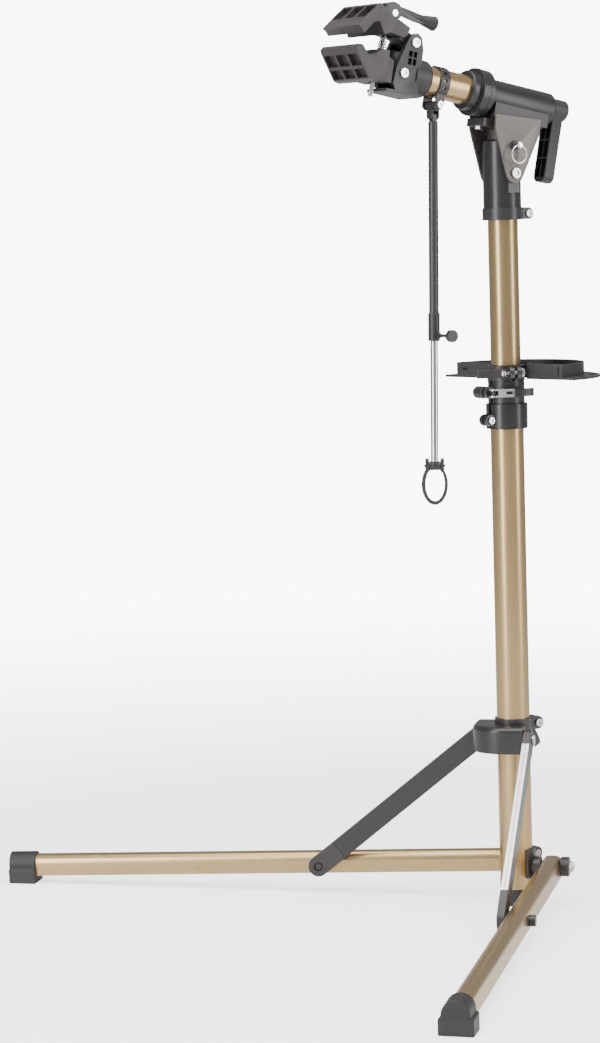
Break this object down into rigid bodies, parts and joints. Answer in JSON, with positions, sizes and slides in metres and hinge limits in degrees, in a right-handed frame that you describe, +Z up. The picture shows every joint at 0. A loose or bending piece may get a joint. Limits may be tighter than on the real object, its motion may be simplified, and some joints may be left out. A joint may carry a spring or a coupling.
{
  "type": "bike repair stand",
  "caption": "Folding bike work stand: sliding post on two folding legs, tool tray, tilting head with a toothed index and a cam clamp, and a hanging handlebar rod.",
  "frame": {"origin": "on the floor under the foot of the post, in the plane of symmetry of the legs", "axes": "+Z up, the clamp points to -X, the legs spread at 44 degrees to either side of -X, Y is lateral"},
  "size_m": [0.555, 0.9932, 1.0828],
  "materials": {
    "bronze_tube": "satin anodised bronze",
    "black_plastic": "moulded black",
    "gloss_black": "smooth black",
    "black_steel": "satin black",
    "fork_steel": "satin grey-brown",
    "bright_steel": "bright plated",
    "brushed_lever": "brushed",
    "rubber_foot": "moulded rubber"
  },
  "bodies": {
    "base": {"post_foot": "rubber_foot", "lower_tube": "bronze_tube", "guide_bush": "black_plastic", "lower_collar": "black_plastic", "height_clamp": "black_plastic", "height_skewer": "bright_steel", "hub_bracket": "black_plastic", "base_bolts": "bright_steel", "leg_pivot_caps": "black_plastic"},
    "height_lever": {"height_lever": "brushed_lever"},
    "leg_left": {"leg_left_tube": "bronze_tube", "leg_left_foot": "rubber_foot", "leg_left_strut_nut": "bright_steel"},
    "leg_front": {"leg_front_tube": "bronze_tube", "leg_front_foot": "rubber_foot", "leg_front_strut_nut": "bright_steel"},
    "slider": {"slider_body": "gloss_black", "slider_ring": "black_plastic", "slider_bolts": "bright_steel"},
    "slider_lever": {"slider_lever": "black_steel"},
    "strut_left": {"strut_left_bar": "black_steel", "strut_left_caps": "black_plastic"},
    "strut_front": {"strut_front_bar": "black_steel", "strut_front_caps": "black_plastic"},
    "mast": {"upper_tube": "bronze_tube", "post_sleeve": "gloss_black", "sleeve_ring": "black_plastic", "sleeve_bolts": "bright_steel"},
    "tray_mount": {"tray_bush": "black_plastic"},
    "tray": {"tray_band": "black_plastic", "tray_skewer": "bright_steel", "tray_shell": "black_plastic"},
    "tray_lever": {"tray_lever": "black_steel"},
    "head": {"fork_bracket": "fork_steel", "saddle_block": "black_plastic", "saddle_screws": "bright_steel", "head_barrel": "gloss_black", "latch_housing": "black_plastic"},
    "latch_pin": {"latch_pin": "bright_steel"},
    "latch_ring": {"latch_ring": "bright_steel"},
    "handle": {"head_handle": "black_plastic", "draw_bolt": "bright_steel"},
    "head_tube": {"head_tube": "bronze_tube", "index_ring": "black_plastic", "draw_nut": "black_plastic", "rod_strap": "black_steel", "clamp_body": "black_plastic", "clamp_screws": "bright_steel"},
    "upper_jaw": {"upper_jaw": "black_plastic"},
    "lower_jaw": {"lower_jaw": "black_plastic"},
    "clamp_bolt": {"clamp_bolt": "bright_steel", "clamp_spring": "bright_steel"},
    "cam_lever": {"cam_lever": "black_plastic"},
    "rod_hanger": {"rod_clevis": "black_plastic"},
    "rod": {"rod_outer": "black_steel", "rod_lock_sleeve": "black_plastic"},
    "rod_screw": {"rod_screw": "black_plastic"},
    "rod_inner": {"rod_inner": "bright_steel", "loop_yoke": "black_plastic"},
    "loop": {"loop_strap": "black_plastic"}
  },
  "joints": [
    {"name": "leg_fold_left", "type": "hinge", "parent": "base", "child": "leg_left", "pos_m": [0.02879, 0.03093, 0.04816], "axis": [0.6945, 0.7193, 0.0158], "range_deg": [0, 76]},
    {"name": "leg_fold_front", "type": "hinge", "parent": "base", "child": "leg_front", "pos_m": [0.02879, -0.03093, 0.04816], "axis": [-0.6945, 0.7193, -0.0158], "range_deg": [-0.5, 76.5]},
    {"name": "slider_travel", "type": "slide", "parent": "base", "child": "slider", "axis": [-0.0227, 0, 0.9997], "range_m": [-0.002, 0.3501]},
    {"name": "strut_swing_left", "type": "hinge", "parent": "slider", "child": "strut_left", "pos_m": [-0.0154, 0.04366, 0.2087], "axis": [0.6945, 0.7193, 0.0158], "range_deg": [-45.05, 0.5]},
    {"name": "strut_swing_front", "type": "hinge", "parent": "slider", "child": "strut_front", "pos_m": [-0.0154, -0.04366, 0.2087], "axis": [-0.6945, 0.7193, -0.0158], "range_deg": [-45.05, 0.5]},
    {"name": "slider_lever_flip", "type": "hinge", "parent": "slider", "child": "slider_lever", "pos_m": [0.02697, 0.014, 0.22217], "axis": [0.8545, 0, 0.5195], "range_deg": [0, 120]},
    {"name": "height_lever_flip", "type": "hinge", "parent": "base", "child": "height_lever", "pos_m": [-0.04269, -0.0142, 0.62519], "axis": [0.0227, 0, -0.9997], "range_deg": [0, 140]},
    {"name": "mast_slide", "type": "slide", "parent": "base", "child": "mast", "axis": [-0.0227, 0, 0.9997], "range_m": [0, 0.45]},
    {"name": "tray_slide", "type": "slide", "parent": "mast", "child": "tray_mount", "axis": [-0.0227, 0, 0.9997], "range_m": [0, 0.15]},
    {"name": "tray_swivel", "type": "hinge", "parent": "tray_mount", "child": "tray", "pos_m": [-0.01473, 0, 0.64933], "axis": [-0.0227, 0, 0.9997], "range_deg": [-60, 60]},
    {"name": "tray_lever_flip", "type": "hinge", "parent": "tray", "child": "tray_lever", "pos_m": [-0.03563, -0.0239, 0.64886], "axis": [-0.0227, 0, 0.9997], "range_deg": [0, 95]},
    {"name": "head_fold", "type": "hinge", "parent": "mast", "child": "head", "pos_m": [-0.0201, 0, 0.88577], "axis": [0, -1, 0], "range_deg": [0, 90]},
    {"name": "latch_pull", "type": "slide", "parent": "head", "child": "latch_pin", "axis": [0, -1, 0], "range_m": [0, 0.008], "stiffness_N_per_m": 600},
    {"name": "latch_ring_swing", "type": "hinge", "parent": "latch_pin", "child": "latch_ring", "pos_m": [-0.02084, -0.0362, 0.91826], "axis": [-0.9997, 0, -0.0227], "range_deg": [0, 85]},
    {"name": "head_turn", "type": "hinge", "parent": "head", "child": "head_tube", "pos_m": [-0.0221, 0, 0.97385], "axis": [-0.9839, 0, 0.1788], "continuous": true},
    {"name": "handle_turn", "type": "hinge", "parent": "head", "child": "handle", "pos_m": [-0.0221, 0, 0.97385], "axis": [-0.9839, 0, 0.1788], "continuous": true},
    {"name": "jaw_open", "type": "hinge", "parent": "head_tube", "child": "upper_jaw", "pos_m": [-0.15784, 0, 1.03562], "axis": [0, 1, 0], "range_deg": [-7, 15]},
    {"name": "clamp_bolt_tilt", "type": "hinge", "parent": "upper_jaw", "child": "clamp_bolt", "pos_m": [-0.18012, 0, 1.06965], "axis": [0, 1, 0], "range_deg": [-10.5, 5.2]},
    {"name": "cam_lever_flip", "type": "hinge", "parent": "clamp_bolt", "child": "cam_lever", "pos_m": [-0.18012, 0, 1.06965], "axis": [0, 1, 0], "range_deg": [-75, 0]},
    {"name": "lower_jaw_tilt", "type": "hinge", "parent": "head_tube", "child": "lower_jaw", "pos_m": [-0.17478, 0, 1.00058], "axis": [0, 1, 0], "range_deg": [-6, 2]},
    {"name": "rod_level", "type": "hinge", "parent": "head_tube", "child": "rod_hanger", "pos_m": [-0.11982, 0, 0.96518], "axis": [0, -1, 0], "range_deg": [-91, 1]},
    {"name": "rod_swing", "type": "hinge", "parent": "rod_hanger", "child": "rod", "pos_m": [-0.11982, 0, 0.95318], "axis": [1, 0, 0], "range_deg": [-60, 60]},
    {"name": "rod_screw_turn", "type": "hinge", "parent": "rod", "child": "rod_screw", "pos_m": [-0.11982, -0.02, 0.6955], "axis": [0, -1, 0], "range_deg": [0, 360]},
    {"name": "rod_extend", "type": "slide", "parent": "rod", "child": "rod_inner", "axis": [0, 0, -1], "range_m": [-0.08, 0.13]},
    {"name": "loop_swing", "type": "hinge", "parent": "rod_inner", "child": "loop", "pos_m": [-0.11982, 0, 0.5414], "axis": [0.8387, -0.5446, 0], "range_deg": [-85, 85]}
  ],
  "couplings": [
    {"joint": "leg_fold_front", "follows": "leg_fold_left", "ratio": 1},
    {"joint": "slider_travel", "follows": "leg_fold_left", "m_per_rad": 0.26306},
    {"joint": "strut_swing_left", "follows": "leg_fold_left", "ratio": -0.5862},
    {"joint": "strut_swing_front", "follows": "leg_fold_left", "ratio": -0.5862},
    {"joint": "rod_level", "follows": "head_fold", "ratio": -1},
    {"joint": "clamp_bolt_tilt", "follows": "jaw_open", "ratio": -0.67}
  ]
}
